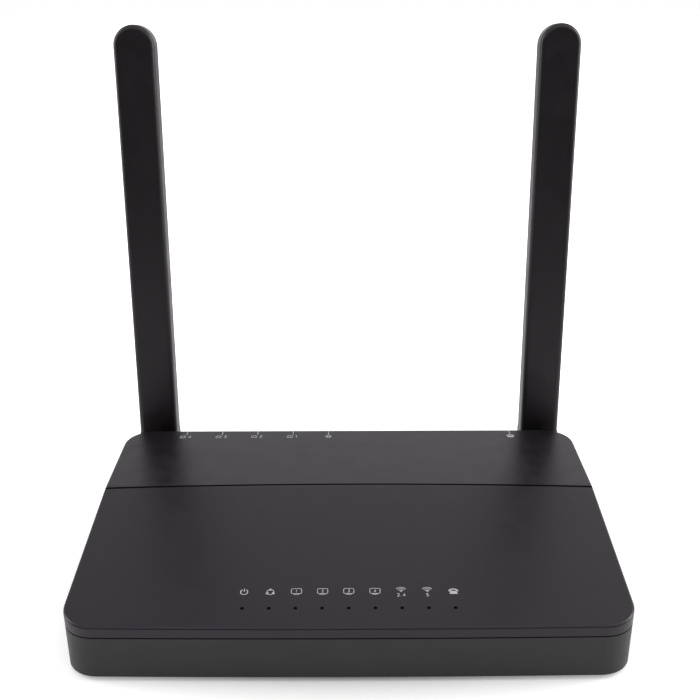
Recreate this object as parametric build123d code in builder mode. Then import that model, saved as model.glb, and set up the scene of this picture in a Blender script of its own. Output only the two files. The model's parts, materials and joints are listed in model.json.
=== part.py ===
from build123d import *
import os
from math import cos, radians, sin

# Desktop optical network terminal: a wedge-topped case, two folding antennas, rear sockets and its board.
#
# Millimetres. The origin is on the table, under the centre of the case's plan. +X is to the right when
# facing the front, +Y points to the rear with the sockets, and +Z is up.

# ---------------------------------------------------------------- driving sizes
CASE_WIDTH = 187.0
CASE_DEPTH = 120.0
CORNER_RADIUS = 11.0
FRONT_BOW = 0.8  # the front edge is very slightly convex in plan
FOOT_PROUD = 1.3  # the feet lift the case off the table
FRONT_HEIGHT = 20.0
REAR_HEIGHT = 28.5
WALL = 2.0

CASE_BOTTOM = FOOT_PROUD
FRONT_TOP = CASE_BOTTOM + FRONT_HEIGHT
REAR_TOP = CASE_BOTTOM + REAR_HEIGHT
FRONT_Y = -CASE_DEPTH / 2
REAR_Y = CASE_DEPTH / 2
CREASE_Y = 13.9  # the sloping front of the top meets the level rear here
TOP_SLOPE = (REAR_TOP - FRONT_TOP) / (CREASE_Y - FRONT_Y)
CREASE_RADIUS = 18.0
TOP_EDGE_RADIUS = 0.9

SEAM_Z = CASE_BOTTOM + 16.2  # top cover meets bottom case at the front and sides
SEAM_STEP_Y = 46.0  # behind this the bottom case rises to carry the socket wall
REAR_SEAM_Z = 24.0
REVEAL_HEIGHT = 0.45  # shadow line around the seam
REVEAL_DEPTH = 0.8
PAST = 12.0  # how far a cutting profile runs past the case

GROOVE_WIDTH = 1.0
GROOVE_DEPTH = 0.8
GROOVE_MIDDLE_Y = 15.0
GROOVE_END_Y = 12.7

# ---------------------------------------------------------------- board and sockets
BOARD_THICKNESS = 1.6
BOARD_BOTTOM = CASE_BOTTOM + WALL + 2.5
BOARD_TOP = BOARD_BOTTOM + BOARD_THICKNESS
BOARD_HALF_WIDTH = 77.5
BOARD_FRONT = -55.0
BOARD_REAR = 57.5
SOCKET_FACE = REAR_Y - WALL - 0.1  # the jacks stop just inside the socket wall
SOCKET_PITCH = 15.0
WAN_X = -8.6
LAN_X = [WAN_X - SOCKET_PITCH * step for step in (1, 2, 3, 4)]  # LAN 1 to LAN 4
RESET_X, WPS_X, POWER_X, DC_X = (WAN_X + SOCKET_PITCH * step for step in (1, 2, 3, 4.05))
PHONE_X = 68.1
CONTROL_Z = 14.1  # height of the round controls and the power inlet
RESET_Z = 11.6

# ---------------------------------------------------------------- indicators
LED_COUNT = 9
LED_PITCH = 8.7
LED_Y = -51.0
LED_HOLE_RADIUS = 0.65

# ---------------------------------------------------------------- antennas
HUB_X = 82.5
HUB_Z = CASE_BOTTOM + 15.0
ELBOW_Y = REAR_Y + 9.0
REST_LEAN = 5.5  # degrees back from upright
ANTENNA_REACH = 177.5  # elbow axis to tip
BLADE_WIDTH = 16.0
BLADE_THICKNESS = 9.4
BLADE_START = 9.2  # elbow axis to the blade's lower end
BLADE_EDGE_RADIUS = 1.9
BLADE_WALL = 1.4

os.makedirs("parts", exist_ok=True)


def save(builder, name):
    """Label a finished piece and write its STEP file."""
    builder.part.label = name
    export_step(builder.part, f"parts/{name}.step")


def top_height(y):
    """Outer height of the sloping part of the top at depth y."""
    return FRONT_TOP + (y - FRONT_Y) * TOP_SLOPE


def case_outline(inset=0.0):
    """The case's plan: straight sides and rear, a slightly bowed front, four equal corners."""
    half = CASE_WIDTH / 2
    shoulder = FRONT_Y + FRONT_BOW
    with BuildSketch() as plan:
        with BuildLine():
            ThreePointArc((-half, shoulder), (0, FRONT_Y), (half, shoulder))
            Polyline((half, shoulder), (half, REAR_Y), (-half, REAR_Y), (-half, shoulder))
        make_face()
        fillet(plan.vertices(), CORNER_RADIUS)
        if inset:
            offset(amount=-inset, mode=Mode.REPLACE)
    return plan.sketch


def case_slice(side_profile, inset=0.0, crease=0.0):
    """The case's plan, pulled in by inset, kept only where it lies inside a profile seen from the side."""
    with BuildPart() as volume:
        with BuildSketch():
            add(case_outline(inset))
        extrude(amount=REAR_TOP + PAST)
        with BuildSketch(Plane.YZ) as side:
            with BuildLine():
                Polyline(side_profile, close=True)
            make_face()
            if crease:
                bend = side.vertices().sort_by(SortBy.DISTANCE)
                nearest = bend.sort_by(lambda v: abs(v.X) + abs(v.Y - CREASE_Y) + abs(v.Z - REAR_TOP))[0]
                fillet(nearest, crease)
        extrude(amount=CASE_WIDTH, both=True, mode=Mode.INTERSECT)
    return volume.part


BEYOND_FRONT, BEYOND_REAR = FRONT_Y - PAST, REAR_Y + PAST

cavity = case_slice(
    [
        (BEYOND_FRONT, CASE_BOTTOM + WALL),
        (BEYOND_FRONT, top_height(BEYOND_FRONT) - WALL),
        (CREASE_Y, REAR_TOP - WALL),
        (BEYOND_REAR, REAR_TOP - WALL),
        (BEYOND_REAR, CASE_BOTTOM + WALL),
    ],
    inset=WALL,
)

# ---------------------------------------------------------------- fastener places
CASE_SCREWS = [(-82.2, -46.5), (82.2, -46.5), (-84.0, 20.0), (84.0, 20.0)]
CASE_BOSS_RADIUS = 4.0
CASE_BOSS_TOP = 9.0
CASE_SCREW_RADIUS = 1.45
CASE_SCREW_HEAD = 2.75
CASE_SCREW_SEAT = CASE_BOTTOM + 2.6
BOARD_SCREWS = [(-71.0, -47.0), (71.0, -47.0), (-71.0, 20.0), (71.0, 20.0)]
BOARD_SCREW_RADIUS = 1.0
FOOT_PLACES = [(-66.0, -42.0), (66.0, -42.0), (-66.0, 44.0), (66.0, 44.0)]
FOOT_RADIUS = 5.5
FOOT_RECESS = 0.8

KEYHOLE_X = 50.0
KEYHOLE_Y = 6.0
KEYHOLE_HEAD_RADIUS = 4.0
KEYHOLE_SLOT_RADIUS = 2.1
KEYHOLE_TRAVEL = 9.0
LABEL_SIZE = (74.0, 26.0)
LABEL_Y = 34.0
LABEL_RECESS = 0.35

# ---------------------------------------------------------------- socket shapes
LAN_BODY = (14.2, 17.6, 13.2)
LAN_CAVITY_WIDTH = 11.9
LAN_CAVITY_FLOOR = BOARD_TOP + 4.2
LAN_CAVITY_TOP = BOARD_TOP + 11.6
LAN_CAVITY_DEPTH = 13.0
PHONE_BODY = (12.6, 16.0, 13.0)
PHONE_CAVITY_WIDTH = 9.9
OPTICAL_BODY = (11.4, 20.0, 12.6)
OPTICAL_Z = BOARD_TOP + OPTICAL_BODY[2] / 2
OPTICAL_CAVITY = (7.6, 9.4)
OPTICAL_CAVITY_DEPTH = 12.5
FERRULE_RADIUS = 1.25
FERRULE_SLEEVE_RADIUS = 1.65
FERRULE_SLEEVE_LENGTH = 8.0
DC_BODY = (9.0, 13.6, 11.0)
DC_NOSE_RADIUS = 4.1
DC_BORE_RADIUS = 3.1
DC_BORE_DEPTH = 11.0
DC_PIN_RADIUS = 1.05
DC_PIN_LENGTH = 9.8
DC_FACE = REAR_Y - 0.3
POWER_CAP_RADIUS = 4.0
WPS_CAP_RADIUS = 3.0
BUTTON_GAP = 0.2
PINHOLE_RADIUS = 0.9
WPS_TRAVEL = 0.5
HUB_BOSS_RADIUS = 6.2
HUB_BOSS_FACE = REAR_Y + 1.0
HUB_BOSS_INNER_FACE = REAR_Y - 5.5
HUB_SHANK_RADIUS = 3.5
HUB_HOLE_RADIUS = 3.56


def from_rear(y):
    """A sketch plane at depth y whose local axes are the row's X and Z, and whose normal points to -Y."""
    return Plane(origin=(0, y, 0), x_dir=(1, 0, 0), z_dir=(0, -1, 0))


# ---------------------------------------------------------------- bottom case
bottom_profile = [
    (BEYOND_FRONT, CASE_BOTTOM),
    (BEYOND_FRONT, SEAM_Z),
    (SEAM_STEP_Y, SEAM_Z),
    (SEAM_STEP_Y, REAR_SEAM_Z),
    (BEYOND_REAR, REAR_SEAM_Z),
    (BEYOND_REAR, CASE_BOTTOM),
]
reveal_profile = [
    (BEYOND_FRONT, SEAM_Z - REVEAL_HEIGHT),
    (BEYOND_FRONT, SEAM_Z),
    (SEAM_STEP_Y, SEAM_Z),
    (SEAM_STEP_Y, REAR_SEAM_Z),
    (BEYOND_REAR, REAR_SEAM_Z),
    (BEYOND_REAR, REAR_SEAM_Z - REVEAL_HEIGHT),
    (SEAM_STEP_Y + REVEAL_HEIGHT, REAR_SEAM_Z - REVEAL_HEIGHT),
    (SEAM_STEP_Y + REVEAL_HEIGHT, SEAM_Z - REVEAL_HEIGHT),
]
with BuildPart() as reveal:
    add(case_slice(reveal_profile))
    add(case_slice(reveal_profile, inset=REVEAL_DEPTH), mode=Mode.SUBTRACT)

with BuildPart() as lower_shell:
    add(case_slice(bottom_profile))
    chamfer(lower_shell.faces().sort_by(Axis.Z)[0].edges(), 0.6)
    add(cavity, mode=Mode.SUBTRACT)
    add(reveal.part, mode=Mode.SUBTRACT)

    # bosses for the case screws and standoffs for the board
    with BuildSketch(Plane.XY.offset(CASE_BOTTOM + WALL)):
        with Locations(*CASE_SCREWS):
            Circle(CASE_BOSS_RADIUS)
    extrude(amount=CASE_BOSS_TOP - CASE_BOTTOM - WALL)
    with BuildSketch(Plane.XY.offset(CASE_BOTTOM + WALL)):
        with Locations(*BOARD_SCREWS):
            Circle(3.0)
    extrude(amount=BOARD_BOTTOM - CASE_BOTTOM - WALL)
    with BuildSketch(Plane.XY.offset(BOARD_BOTTOM)):
        with Locations(*BOARD_SCREWS):
            Circle(BOARD_SCREW_RADIUS + 0.02)
    extrude(amount=-3.0, mode=Mode.SUBTRACT)
    with BuildSketch(Plane.XY.offset(CASE_BOSS_TOP)):
        with Locations(*CASE_SCREWS):
            Circle(CASE_SCREW_RADIUS + 0.25)
    extrude(amount=-CASE_BOSS_TOP, mode=Mode.SUBTRACT)
    with BuildSketch(Plane.XY.offset(CASE_SCREW_SEAT)):
        with Locations(*CASE_SCREWS):
            Circle(CASE_SCREW_HEAD + 0.3)
    extrude(amount=-CASE_SCREW_SEAT, mode=Mode.SUBTRACT)

    # recesses under the case for the feet and the label
    with BuildSketch(Plane.XY.offset(CASE_BOTTOM)):
        with Locations(*FOOT_PLACES):
            Circle(FOOT_RADIUS + 0.2)
    extrude(amount=FOOT_RECESS, mode=Mode.SUBTRACT)
    with BuildSketch(Plane.XY.offset(CASE_BOTTOM)):
        with Locations((0, LABEL_Y)):
            RectangleRounded(LABEL_SIZE[0] + 0.4, LABEL_SIZE[1] + 0.4, 2.2)
    extrude(amount=LABEL_RECESS, mode=Mode.SUBTRACT)

    # keyholes for two wall screws, and rows of vents in the floor and both sides
    with BuildSketch(Plane.XY.offset(CASE_BOTTOM)):
        with Locations((-KEYHOLE_X, KEYHOLE_Y), (KEYHOLE_X, KEYHOLE_Y)):
            Circle(KEYHOLE_HEAD_RADIUS)
        with Locations(
            (-KEYHOLE_X, KEYHOLE_Y - KEYHOLE_TRAVEL / 2), (KEYHOLE_X, KEYHOLE_Y - KEYHOLE_TRAVEL / 2)
        ):
            SlotCenterToCenter(KEYHOLE_TRAVEL, KEYHOLE_SLOT_RADIUS * 2, rotation=90)
    extrude(amount=WALL, mode=Mode.SUBTRACT)
    with BuildSketch(Plane.XY.offset(CASE_BOTTOM)):
        with Locations((0, -18)):
            with GridLocations(6.0, 0, 11, 1):
                SlotOverall(30.0, 2.2, rotation=90)
    extrude(amount=WALL, mode=Mode.SUBTRACT)
    with BuildSketch(Plane.YZ.offset(-CASE_WIDTH)):
        with Locations((-15, 10.4)):
            with GridLocations(5.0, 0, 11, 1):
                SlotOverall(8.0, 1.8, rotation=90)
    extrude(amount=2 * CASE_WIDTH, mode=Mode.SUBTRACT)

    # round seats for the antenna hubs on the rear corners
    with BuildSketch(from_rear(HUB_BOSS_FACE)):
        with Locations((-HUB_X, HUB_Z), (HUB_X, HUB_Z)):
            Circle(HUB_BOSS_RADIUS)
    extrude(amount=HUB_BOSS_FACE - HUB_BOSS_INNER_FACE)
    with BuildSketch(from_rear(HUB_BOSS_FACE)):
        with Locations((-HUB_X, HUB_Z), (HUB_X, HUB_Z)):
            Circle(HUB_HOLE_RADIUS)
    extrude(amount=HUB_BOSS_FACE - HUB_BOSS_INNER_FACE, mode=Mode.SUBTRACT)

    # openings in the rear wall for the sockets, the controls and the reset pin
    with BuildSketch(from_rear(REAR_Y)):
        with Locations(*[(x, (LAN_CAVITY_FLOOR + LAN_CAVITY_TOP) / 2 - 1.1) for x in LAN_X]):
            RectangleRounded(12.6, 10.4, 0.5)
        with Locations((PHONE_X, (LAN_CAVITY_FLOOR + LAN_CAVITY_TOP) / 2 - 1.1)):
            RectangleRounded(10.6, 10.4, 0.5)
        with Locations((WAN_X, OPTICAL_Z)):
            RectangleRounded(OPTICAL_CAVITY[0] + 1.0, OPTICAL_CAVITY[1] + 1.4, 0.6)
        with Locations((DC_X, CONTROL_Z)):
            Circle(DC_NOSE_RADIUS + 0.2)
        with Locations((POWER_X, CONTROL_Z)):
            Circle(POWER_CAP_RADIUS + BUTTON_GAP)
        with Locations((WPS_X, CONTROL_Z)):
            Circle(WPS_CAP_RADIUS + BUTTON_GAP)
        with Locations((RESET_X, RESET_Z)):
            Circle(PINHOLE_RADIUS)
    extrude(amount=WALL, mode=Mode.SUBTRACT)

# the socket wall is a panel of its own that drops into the bottom case between the antenna seats
PANEL_HALF_WIDTH = 75.5
PANEL_GAP = 0.1
PANEL_FOOT = CASE_BOTTOM + WALL
with BuildPart() as panel_slot:
    with Locations((0, REAR_Y, (PANEL_FOOT + REAR_SEAM_Z) / 2 + PAST / 2)):
        Box(2 * PANEL_HALF_WIDTH, 2 * WALL + 2 * PANEL_GAP, REAR_SEAM_Z - PANEL_FOOT + PAST)
with BuildPart() as bottom_case:
    add(lower_shell.part)
    add(panel_slot.part, mode=Mode.SUBTRACT)
save(bottom_case, "bottom_case")

with BuildPart() as rear_panel:
    add(lower_shell.part)
    with Locations((0, REAR_Y, (PANEL_FOOT + REAR_SEAM_Z) / 2 + PAST / 2)):
        Box(
            2 * (PANEL_HALF_WIDTH - PANEL_GAP),
            2 * WALL,
            REAR_SEAM_Z - PANEL_FOOT + PAST,
            mode=Mode.INTERSECT,
        )
save(rear_panel, "rear_panel")

# ---------------------------------------------------------------- top cover
top_profile = [
    (BEYOND_FRONT, SEAM_Z),
    (BEYOND_FRONT, top_height(BEYOND_FRONT)),
    (CREASE_Y, REAR_TOP),
    (BEYOND_REAR, REAR_TOP),
    (BEYOND_REAR, REAR_SEAM_Z),
    (SEAM_STEP_Y, REAR_SEAM_Z),
    (SEAM_STEP_Y, SEAM_Z),
]
with BuildPart() as groove_cutter:
    with BuildSketch(Plane.XY.offset(REAR_TOP + 1)):
        with BuildLine():
            ThreePointArc(
                (-CASE_WIDTH / 2 - 1, GROOVE_END_Y),
                (0, GROOVE_MIDDLE_Y),
                (CASE_WIDTH / 2 + 1, GROOVE_END_Y),
            )
            offset(amount=GROOVE_WIDTH / 2, side=Side.BOTH)
        make_face()
    extrude(amount=-1 - GROOVE_DEPTH)

with BuildPart() as top_cover:
    add(case_slice(top_profile, crease=CREASE_RADIUS))
    rim = [
        edge
        for face in top_cover.faces().filter_by(lambda f: f.normal_at().Z > 0.9)
        for edge in face.edges()
        if abs(edge.center().X) > 1 or abs(edge.center().Y) > REAR_Y - 2
    ]
    fillet(rim, TOP_EDGE_RADIUS)
    add(cavity, mode=Mode.SUBTRACT)
    add(groove_cutter.part, mode=Mode.SUBTRACT)

    # posts that take the case screws
    with BuildSketch(Plane.XY.offset(CASE_BOSS_TOP + 0.05)):
        with Locations(*CASE_SCREWS):
            Circle(CASE_BOSS_RADIUS - 0.3)
    extrude(until=Until.NEXT)
    with BuildSketch(Plane.XY.offset(CASE_BOSS_TOP)):
        with Locations(*CASE_SCREWS):
            Circle(CASE_SCREW_RADIUS + 0.02)
    extrude(amount=9.0, mode=Mode.SUBTRACT)

    # holes over the indicators
    with BuildSketch(Plane.XY.offset(SEAM_Z)):
        with Locations((0, LED_Y)):
            with GridLocations(LED_PITCH, 0, LED_COUNT, 1):
                Circle(LED_HOLE_RADIUS)
    extrude(amount=REAR_TOP - SEAM_Z, mode=Mode.SUBTRACT)
save(top_cover, "top_cover")


# ---------------------------------------------------------------- fasteners, feet and label
def box_between(low, high):
    """A box from its lowest corner to its highest, added to the part being built."""
    size = Vector(*high) - Vector(*low)
    with Locations(Vector(*low) + size / 2):
        Box(*size)


def disc(places, z, radius, height):
    """Upright cylinders standing at z over each (x, y) place."""
    with BuildSketch(Plane.XY.offset(z)) as circles:
        with Locations(*places):
            Circle(radius)
    extrude(circles.sketch, amount=height)


with BuildPart() as case_screws:
    disc(CASE_SCREWS, CASE_SCREW_SEAT - 1.6, CASE_SCREW_HEAD, 1.6)
    disc(CASE_SCREWS, CASE_SCREW_SEAT, CASE_SCREW_RADIUS, 12.0)
    with BuildSketch(Plane.XY.offset(CASE_SCREW_SEAT - 1.6)):
        with Locations(*CASE_SCREWS):
            SlotOverall(3.2, 0.8)
            SlotOverall(3.2, 0.8, rotation=90)
    extrude(amount=1.0, mode=Mode.SUBTRACT)
save(case_screws, "case_screws")

with BuildPart() as board_screws:
    disc(BOARD_SCREWS, BOARD_TOP, 2.3, 1.5)
    disc(BOARD_SCREWS, BOARD_TOP, BOARD_SCREW_RADIUS, -4.2)
    with BuildSketch(Plane.XY.offset(BOARD_TOP + 1.5)):
        with Locations(*BOARD_SCREWS):
            SlotOverall(2.6, 0.6)
            SlotOverall(2.6, 0.6, rotation=90)
    extrude(amount=-0.8, mode=Mode.SUBTRACT)
save(board_screws, "board_screws")

with BuildPart() as rubber_feet:
    disc(FOOT_PLACES, 0, FOOT_RADIUS, CASE_BOTTOM + FOOT_RECESS)
    fillet(rubber_feet.faces().filter_by(Axis.Z).group_by(Axis.Z)[0].edges(), 0.5)
save(rubber_feet, "rubber_feet")

with BuildPart() as blank_label:
    with BuildSketch(Plane.XY.offset(CASE_BOTTOM + LABEL_RECESS)):
        with Locations((0, LABEL_Y)):
            RectangleRounded(*LABEL_SIZE, 2.0)
    extrude(amount=-0.2)
save(blank_label, "blank_label")

# ---------------------------------------------------------------- main board and what is soldered to it
with BuildPart() as main_board:
    with BuildSketch(Plane.XY.offset(BOARD_BOTTOM)):
        with Locations((0, (BOARD_FRONT + BOARD_REAR) / 2)):
            RectangleRounded(2 * BOARD_HALF_WIDTH, BOARD_REAR - BOARD_FRONT, 2.0)
        with Locations(*BOARD_SCREWS):
            Circle(BOARD_SCREW_RADIUS + 0.3, mode=Mode.SUBTRACT)
    extrude(amount=BOARD_THICKNESS)
save(main_board, "main_board")

CHIP_PLACES = {  # x, y, length, width, height
    "main_processor": (-4.0, 2.0, 19.0, 19.0, 1.6),
    "memory_chip": (-30.0, 4.0, 9.0, 13.0, 1.1),
    "flash_chip": (-30.0, -16.0, 8.0, 6.5, 1.0),
    "wifi_chip_2g": (-52.0, -14.0, 9.0, 9.0, 0.9),
    "wifi_chip_5g": (52.0, -14.0, 10.0, 10.0, 0.9),
    "phone_line_chip": (58.0, 26.0, 7.0, 7.0, 0.9),
}
for chip_name, (x, y, length, width, height) in CHIP_PLACES.items():
    with BuildPart() as chip:
        box_between(
            (x - length / 2, y - width / 2, BOARD_TOP),
            (x + length / 2, y + width / 2, BOARD_TOP + height),
        )
        chamfer(chip.edges().filter_by(Axis.Z).sort_by(Axis.X)[0], 0.5)
    save(chip, chip_name)

PROCESSOR_X, PROCESSOR_Y, _, _, PROCESSOR_HEIGHT = CHIP_PLACES["main_processor"]
PAD_TOP = BOARD_TOP + PROCESSOR_HEIGHT + 0.5
HEAT_SINK = (32.0, 32.0)
with BuildPart() as thermal_pad:
    with BuildSketch(Plane.XY.offset(BOARD_TOP + PROCESSOR_HEIGHT)):
        with Locations((PROCESSOR_X, PROCESSOR_Y)):
            Rectangle(17.0, 17.0)
    extrude(amount=0.5)
save(thermal_pad, "thermal_pad")

with BuildPart() as heat_sink:
    with BuildSketch(Plane.XY.offset(PAD_TOP)):
        with Locations((PROCESSOR_X, PROCESSOR_Y)):
            Rectangle(*HEAT_SINK)
    extrude(amount=1.6)
    with BuildSketch(Plane.XY.offset(PAD_TOP + 1.6)):
        with Locations((PROCESSOR_X, PROCESSOR_Y)):
            with GridLocations(3.9, 0, 9, 1):
                Rectangle(0.8, HEAT_SINK[1])
    extrude(amount=7.0)
save(heat_sink, "heat_sink")

SHIELD_WALL = 0.3
SHIELD_SIZE = (26.0, 22.0, 3.2)
for band, chip_name in (("2g", "wifi_chip_2g"), ("5g", "wifi_chip_5g")):
    x, y = CHIP_PLACES[chip_name][:2]
    with BuildPart() as shield_can:
        with BuildSketch(Plane.XY.offset(BOARD_TOP)):
            with Locations((x, y)):
                RectangleRounded(SHIELD_SIZE[0], SHIELD_SIZE[1], 0.6)
        extrude(amount=SHIELD_SIZE[2])
        with BuildSketch(Plane.XY.offset(BOARD_TOP)):
            with Locations((x, y)):
                Rectangle(SHIELD_SIZE[0] - 2 * SHIELD_WALL, SHIELD_SIZE[1] - 2 * SHIELD_WALL)
        extrude(amount=SHIELD_SIZE[2] - SHIELD_WALL, mode=Mode.SUBTRACT)
    save(shield_can, f"shield_can_{band}")

with BuildPart() as lan_transformers:
    for x in (-59.3, -30.3):
        box_between((x - 9, 24.0, BOARD_TOP), (x + 9, 34.0, BOARD_TOP + 6.4))
    chamfer(lan_transformers.faces().filter_by(Axis.Z).group_by(Axis.Z)[-1].edges(), 0.5)
save(lan_transformers, "lan_transformers")

CAPACITOR_PLACES = [(30.0, 26.0), (41.0, 26.0), (30.0, 14.0), (72.0, -8.0)]
with BuildPart() as capacitors:
    disc(CAPACITOR_PLACES, BOARD_TOP, 4.0, 11.5)
    fillet(capacitors.faces().filter_by(Axis.Z).group_by(Axis.Z)[-1].edges(), 0.6)
save(capacitors, "capacitors")

with BuildPart() as power_inductors:
    for x in (42.0, 52.0):
        box_between((x - 4, 8.0, BOARD_TOP), (x + 4, 16.0, BOARD_TOP + 4.2))
    chamfer(power_inductors.edges().filter_by(Axis.Z), 1.2)
save(power_inductors, "power_inductors")

with BuildPart() as crystals:
    for x, y in ((-18.0, -22.0), (10.0, -24.0)):
        box_between((x - 2.5, y - 1.6, BOARD_TOP), (x + 2.5, y + 1.6, BOARD_TOP + 1.1))
save(crystals, "crystals")

# ---------------------------------------------------------------- indicators
LED_XS = [(step - (LED_COUNT - 1) / 2) * LED_PITCH for step in range(LED_COUNT)]
LED_HEIGHT = 0.7
with BuildPart() as status_leds:
    for x in LED_XS:
        box_between((x - 0.8, LED_Y - 0.5, BOARD_TOP), (x + 0.8, LED_Y + 0.5, BOARD_TOP + LED_HEIGHT))
save(status_leds, "status_leds")

GUIDE_RAIL_Z = BOARD_TOP + 6.0
GUIDE_LEG_X = LED_XS[-1] + 5.0
GUIDE_SHOULDER_Z = top_height(LED_Y) - WALL - 0.4
GUIDE_TIP_Z = top_height(LED_Y) - 0.6  # the tips stop below the cover's face
GUIDE_END_Z = BOARD_TOP + LED_HEIGHT + 0.3
led_places = [(x, LED_Y) for x in LED_XS]
with BuildPart() as light_guide:
    disc(led_places, GUIDE_END_Z, 1.3, GUIDE_SHOULDER_Z - GUIDE_END_Z)
    disc(led_places, GUIDE_SHOULDER_Z, LED_HOLE_RADIUS - 0.08, GUIDE_TIP_Z - GUIDE_SHOULDER_Z)
    box_between((-GUIDE_LEG_X, LED_Y - 1.2, GUIDE_RAIL_Z), (GUIDE_LEG_X, LED_Y + 1.2, GUIDE_RAIL_Z + 2.4))
    for x in (-GUIDE_LEG_X, GUIDE_LEG_X):
        box_between((x - 1.5, LED_Y - 1.2, BOARD_TOP), (x + 1.5, LED_Y + 1.2, GUIDE_RAIL_Z + 2.4))
save(light_guide, "light_guide")


# ---------------------------------------------------------------- network and phone sockets
def modular_socket(x, name, body, cavity_width, notch_width, contact_count):
    """A modular jack: a housing with a stepped cavity, and its row of sprung contacts, as two pieces."""
    width, depth, height = body
    back = SOCKET_FACE - LAN_CAVITY_DEPTH
    with BuildPart() as housing:
        box_between(
            (x - width / 2, SOCKET_FACE - depth, BOARD_TOP),
            (x + width / 2, SOCKET_FACE, BOARD_TOP + height),
        )
        chamfer(housing.edges().filter_by(Axis.Y), 0.4)
        with BuildSketch(from_rear(SOCKET_FACE)):
            with BuildLine():
                Polyline(
                    (x - cavity_width / 2, LAN_CAVITY_TOP),
                    (x + cavity_width / 2, LAN_CAVITY_TOP),
                    (x + cavity_width / 2, LAN_CAVITY_FLOOR),
                    (x + notch_width / 2, LAN_CAVITY_FLOOR),
                    (x + notch_width / 2, LAN_CAVITY_FLOOR - 2.2),
                    (x - notch_width / 2, LAN_CAVITY_FLOOR - 2.2),
                    (x - notch_width / 2, LAN_CAVITY_FLOOR),
                    (x - cavity_width / 2, LAN_CAVITY_FLOOR),
                    close=True,
                )
            make_face()
        extrude(amount=LAN_CAVITY_DEPTH, mode=Mode.SUBTRACT)
    save(housing, name)

    wire = 0.35
    with BuildPart() as contacts:
        for step in range(contact_count):
            wire_x = x + (step - (contact_count - 1) / 2) * 1.02
            with BuildSketch(Plane.YZ.offset(wire_x - wire / 2)):
                with BuildLine():
                    Polyline(
                        (SOCKET_FACE - 1.4, LAN_CAVITY_TOP),
                        (SOCKET_FACE - 2.2, LAN_CAVITY_TOP),
                        (back + 1.0, LAN_CAVITY_TOP - 2.4),
                        (back + 1.0, LAN_CAVITY_TOP - 2.4 - wire),
                        (back + 1.6, LAN_CAVITY_TOP - 2.4 - wire),
                        close=True,
                    )
                make_face()
            extrude(amount=wire)
    save(contacts, f"{name}_contacts")


for number, x in enumerate(LAN_X, start=1):
    modular_socket(x, f"lan{number}_socket", LAN_BODY, LAN_CAVITY_WIDTH, 6.4, 8)
modular_socket(PHONE_X, "phone_socket", PHONE_BODY, PHONE_CAVITY_WIDTH, 6.2, 4)


# ---------------------------------------------------------------- optical socket
def along_y(x, z, y_from, y_to, radius, mode=Mode.ADD):
    """A cylinder lying along Y between two depths."""
    with BuildSketch(from_rear(y_to)) as circle:
        with Locations((x, z)):
            Circle(radius)
    extrude(circle.sketch, amount=y_to - y_from, mode=mode)


OPTICAL_BACK = SOCKET_FACE - OPTICAL_CAVITY_DEPTH
with BuildPart() as fibre_socket:
    box_between(
        (WAN_X - OPTICAL_BODY[0] / 2, SOCKET_FACE - OPTICAL_BODY[1], BOARD_TOP),
        (WAN_X + OPTICAL_BODY[0] / 2, SOCKET_FACE, BOARD_TOP + OPTICAL_BODY[2]),
    )
    chamfer(fibre_socket.edges().filter_by(Axis.Y), 0.4)
    with BuildSketch(from_rear(SOCKET_FACE)):
        with Locations((WAN_X, OPTICAL_Z)):
            Rectangle(*OPTICAL_CAVITY)
        with Locations((WAN_X, OPTICAL_Z + OPTICAL_CAVITY[1] / 2)):
            Rectangle(2.6, 1.2)
    extrude(amount=OPTICAL_CAVITY_DEPTH, mode=Mode.SUBTRACT)
save(fibre_socket, "fibre_socket")

SLEEVE_END = OPTICAL_BACK + FERRULE_SLEEVE_LENGTH
with BuildPart() as ferrule_sleeve:
    along_y(WAN_X, OPTICAL_Z, OPTICAL_BACK, SLEEVE_END, FERRULE_SLEEVE_RADIUS)
    along_y(WAN_X, OPTICAL_Z, OPTICAL_BACK, SLEEVE_END, FERRULE_RADIUS, Mode.SUBTRACT)
save(ferrule_sleeve, "ferrule_sleeve")

MODULE_REAR = SOCKET_FACE - OPTICAL_BODY[1]
with BuildPart() as optical_module:
    along_y(WAN_X, OPTICAL_Z, MODULE_REAR - 4.0, MODULE_REAR, 2.6)
    box_between(
        (WAN_X - 4.0, MODULE_REAR - 13.0, BOARD_TOP),
        (WAN_X + 4.0, MODULE_REAR - 4.0, BOARD_TOP + 9.4),
    )
    chamfer(optical_module.edges().filter_by(Axis.Z).group_by(Axis.Y)[0], 0.8)
save(optical_module, "optical_module")

# ---------------------------------------------------------------- power inlet
with BuildPart() as power_inlet:
    box_between(
        (DC_X - DC_BODY[0] / 2, SOCKET_FACE - DC_BODY[1], BOARD_TOP),
        (DC_X + DC_BODY[0] / 2, SOCKET_FACE, BOARD_TOP + DC_BODY[2]),
    )
    along_y(DC_X, CONTROL_Z, SOCKET_FACE, DC_FACE, DC_NOSE_RADIUS)
    along_y(DC_X, CONTROL_Z, DC_FACE - DC_BORE_DEPTH, DC_FACE, DC_BORE_RADIUS, Mode.SUBTRACT)
save(power_inlet, "power_inlet")

DC_BORE_END = DC_FACE - DC_BORE_DEPTH
with BuildPart() as power_pin:
    along_y(DC_X, CONTROL_Z, DC_BORE_END, DC_BORE_END + DC_PIN_LENGTH, DC_PIN_RADIUS)
save(power_pin, "power_pin")

# ---------------------------------------------------------------- push controls
POWER_SWITCH_FACE = 50.0
WPS_SWITCH_FACE = 52.0
RESET_SWITCH_FACE = 54.0
FLANGE_BACK = 56.4
TACT_HALF = 3.1
TACT_DEPTH = 3.6

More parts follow.
